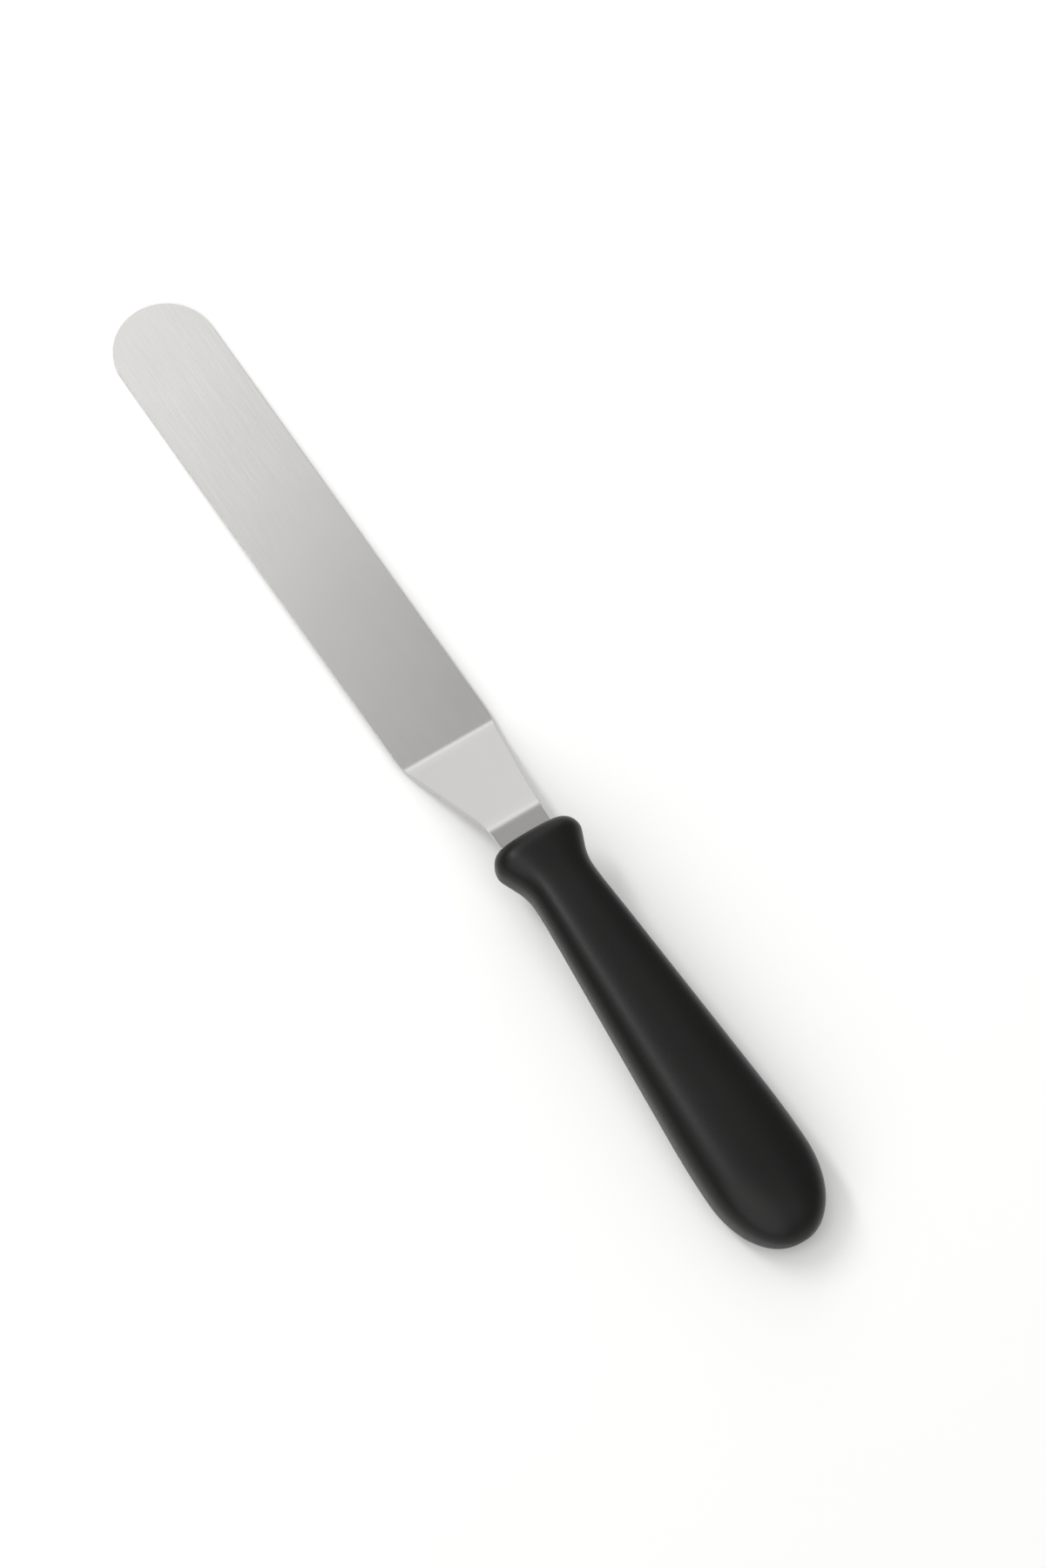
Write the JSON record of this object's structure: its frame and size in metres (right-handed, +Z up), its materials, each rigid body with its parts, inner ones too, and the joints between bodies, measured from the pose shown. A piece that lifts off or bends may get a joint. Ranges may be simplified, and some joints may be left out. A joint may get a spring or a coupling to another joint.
{
  "type": "offset spatula",
  "caption": "Cake-icing spatula with a round-ended steel blade, cranked up to a waisted black plastic handle with a rounded butt.",
  "frame": {"origin": "middle of the bounding box at its base, with the spatula resting on a table on its blade tip and the underside of its butt", "axes": "+X from the blade's tip to the butt of the handle, +Z up, +Y across the blade"},
  "size_m": [0.2864, 0.027, 0.0218],
  "materials": {
    "stainless_strip": "satin, finely ground",
    "black_polypropylene": "moulded, fine matt grain"
  },
  "bodies": {
    "root": {"blade": "stainless_strip", "handle": "black_polypropylene"}
  },
  "joints": []
}
